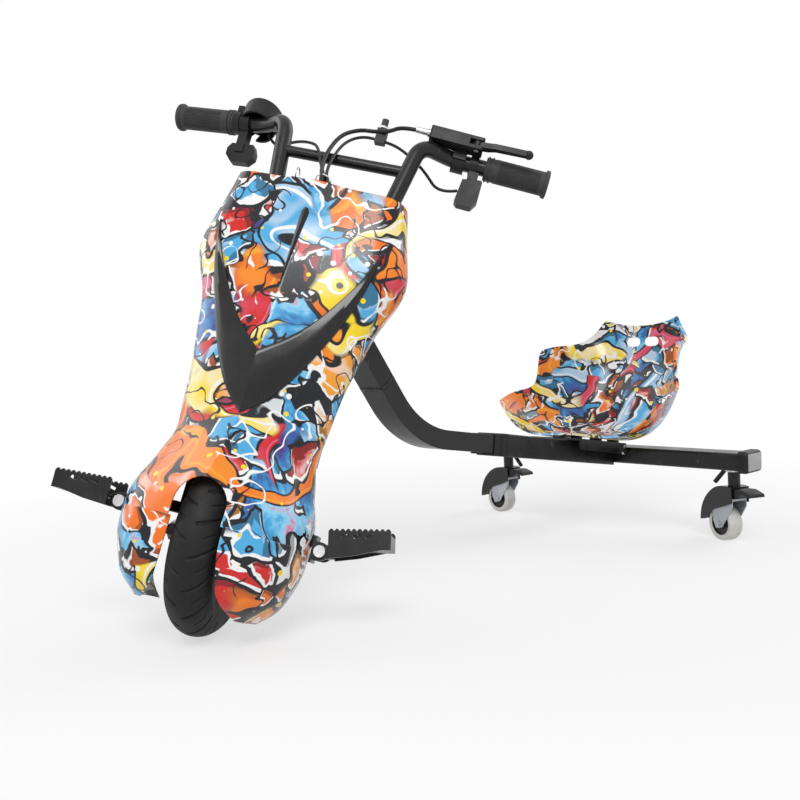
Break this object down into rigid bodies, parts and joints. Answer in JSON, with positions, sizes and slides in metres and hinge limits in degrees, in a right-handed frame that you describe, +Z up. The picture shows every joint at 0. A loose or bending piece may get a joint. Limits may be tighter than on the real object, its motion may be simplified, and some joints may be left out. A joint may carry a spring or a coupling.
{
  "type": "tricycle drift scooter",
  "caption": "Electric drift scooter with a hub-motor front wheel in a printed fairing, folding pegs, bent frame tube, bucket seat and swivelling rear casters.",
  "frame": {"origin": "bottom centre of the bounding box at rest, on the floor", "axes": "+Z up, -Y forwards in the direction of travel, +X to the rider's left"},
  "size_m": [0.5232, 0.9486, 0.6302],
  "materials": {
    "printed_shell": "glossy printed shell",
    "gloss_black": "high gloss",
    "black_plastic": "fine moulded grain",
    "black_steel": "satin black paint",
    "black_rubber": "ribbed rubber",
    "tyre_rubber": "moulded tread",
    "bright_steel": "plated steel",
    "cast_alloy": "cast and turned",
    "white_tread": "satin polyurethane",
    "battery_wrap": "shrink wrap",
    "stator_iron": "laminated core and windings"
  },
  "bodies": {
    "rear_frame": {"rear_crossbar": "black_steel", "beam_sleeve": "black_steel", "sleeve_bush": "black_plastic", "crossbar_end_caps": "black_plastic", "caster_sockets": "bright_steel", "seat_carrier": "black_steel", "seat_shell": "printed_shell", "seat_pads": "black_plastic", "seat_bolts": "bright_steel", "thumb_screws": "black_steel"},
    "front_frame": {"main_beam": "black_steel", "head_tube": "black_steel", "headset_cups": "bright_steel"},
    "steering": {"fork": "black_steel", "steerer_tube": "bright_steel", "headset_cones": "bright_steel", "top_yoke": "black_steel", "handlebar": "black_steel", "grips": "black_rubber", "brake_perch": "black_plastic", "brake_fittings": "bright_steel", "switch_housing": "black_plastic", "throttle_pod": "black_plastic", "display_lens": "gloss_black", "ignition_lock": "bright_steel", "dash_lid": "black_plastic", "fairing_shell": "printed_shell", "wheel_covers": "printed_shell", "rear_cover_upper": "black_plastic", "rear_cover_lower": "black_plastic", "front_trim": "gloss_black", "battery_pack": "battery_wrap", "controller_box": "cast_alloy", "front_axle": "bright_steel", "axle_nuts": "bright_steel", "motor_stator": "stator_iron", "peg_brackets": "black_steel", "peg_bolts": "bright_steel", "control_cables": "black_rubber", "cable_holders": "black_rubber", "fairing_mounts": "cast_alloy"},
    "front_wheel": {"tyre": "tyre_rubber", "hub_drum": "cast_alloy", "hub_covers": "cast_alloy", "wheel_bearings": "bright_steel"},
    "brake_lever": {"brake_lever": "black_plastic"},
    "horn_button": {"horn_button": "black_plastic"},
    "light_rocker": {"light_rocker": "black_plastic"},
    "throttle_paddle": {"throttle_paddle": "black_plastic"},
    "ignition_key": {"ignition_key": "black_plastic"},
    "peg_left": {"peg_left": "black_steel"},
    "peg_right": {"peg_right": "black_steel"},
    "caster_left": {"caster_frame_left": "bright_steel", "caster_hood_left": "black_plastic"},
    "caster_wheel_left_body": {"caster_wheel_left": "white_tread"},
    "caster_pedal_left_body": {"caster_pedal_left": "black_plastic"},
    "caster_right": {"caster_frame_right": "bright_steel", "caster_hood_right": "black_plastic"},
    "caster_wheel_right_body": {"caster_wheel_right": "white_tread"},
    "caster_pedal_right_body": {"caster_pedal_right": "black_plastic"}
  },
  "joints": [
    {"name": "length_adjust", "type": "slide", "parent": "rear_frame", "child": "front_frame", "axis": [0, -0.9876, 0.1571], "range_m": [-0.02, 0.06]},
    {"name": "steering_turn", "type": "hinge", "parent": "front_frame", "child": "steering", "pos_m": [0.00452, -0.21927, 0.40009], "axis": [0, 0.3867, 0.9222], "range_deg": [-88.3, 7.7]},
    {"name": "front_wheel_spin", "type": "hinge", "parent": "steering", "child": "front_wheel", "pos_m": [0.00452, -0.34611, 0.09761], "axis": [0.7627, 0.5965, -0.2501], "continuous": true},
    {"name": "brake_lever_pull", "type": "hinge", "parent": "steering", "child": "brake_lever", "pos_m": [0.07842, 0.00098, 0.53935], "axis": [0.0115, 0.3981, 0.9173], "range_deg": [0, 14], "stiffness_Nm_per_rad": 1.2, "springref_deg": -14.32},
    {"name": "horn_press", "type": "slide", "parent": "steering", "child": "horn_button", "axis": [0.7328, -0.6275, 0.2631], "range_m": [0, 0.0018], "stiffness_N_per_m": 600, "springref_m": -0.001},
    {"name": "light_rock", "type": "hinge", "parent": "steering", "child": "light_rocker", "pos_m": [0.05853, -0.00301, 0.47346], "axis": [0.6803, 0.6691, -0.299], "range_deg": [-5, 5]},
    {"name": "throttle_push", "type": "hinge", "parent": "steering", "child": "throttle_paddle", "pos_m": [-0.16839, -0.16786, 0.59388], "axis": [-0.834, -0.5152, 0.1976], "range_deg": [0, 24], "stiffness_Nm_per_rad": 0.5, "springref_deg": -17.19},
    {"name": "key_turn", "type": "hinge", "parent": "steering", "child": "ignition_key", "pos_m": [-0.00995, -0.21537, 0.4852], "axis": [0, 0.3867, 0.9222], "range_deg": [0, 90]},
    {"name": "peg_left_fold", "type": "hinge", "parent": "steering", "child": "peg_left", "pos_m": [0.09435, -0.27973, 0.08604], "axis": [0.6468, -0.7033, 0.2949], "range_deg": [0, 36]},
    {"name": "peg_right_fold", "type": "hinge", "parent": "steering", "child": "peg_right", "pos_m": [-0.07496, -0.41214, 0.14157], "axis": [-0.6468, 0.7033, -0.2949], "range_deg": [0, 50]},
    {"name": "caster_left_swivel", "type": "hinge", "parent": "rear_frame", "child": "caster_left", "pos_m": [0.21352, 0.36589, 0.104], "axis": [0, 0, 1], "continuous": true},
    {"name": "caster_left_spin", "type": "hinge", "parent": "caster_left", "child": "caster_wheel_left_body", "pos_m": [0.19511, 0.37371, 0.025], "axis": [-0.3907, -0.9205, 0], "continuous": true},
    {"name": "caster_left_brake", "type": "hinge", "parent": "caster_left", "child": "caster_pedal_left_body", "pos_m": [0.21352, 0.36589, 0.072], "axis": [0.3907, 0.9205, 0], "range_deg": [0, 10]},
    {"name": "caster_right_swivel", "type": "hinge", "parent": "rear_frame", "child": "caster_right", "pos_m": [-0.20448, 0.36589, 0.104], "axis": [0, 0, 1], "continuous": true},
    {"name": "caster_right_spin", "type": "hinge", "parent": "caster_right", "child": "caster_wheel_right_body", "pos_m": [-0.2244, 0.36764, 0.025], "axis": [-0.0872, -0.9962, 0], "continuous": true},
    {"name": "caster_right_brake", "type": "hinge", "parent": "caster_right", "child": "caster_pedal_right_body", "pos_m": [-0.20448, 0.36589, 0.072], "axis": [0.0872, 0.9962, 0], "range_deg": [0, 10]}
  ]
}
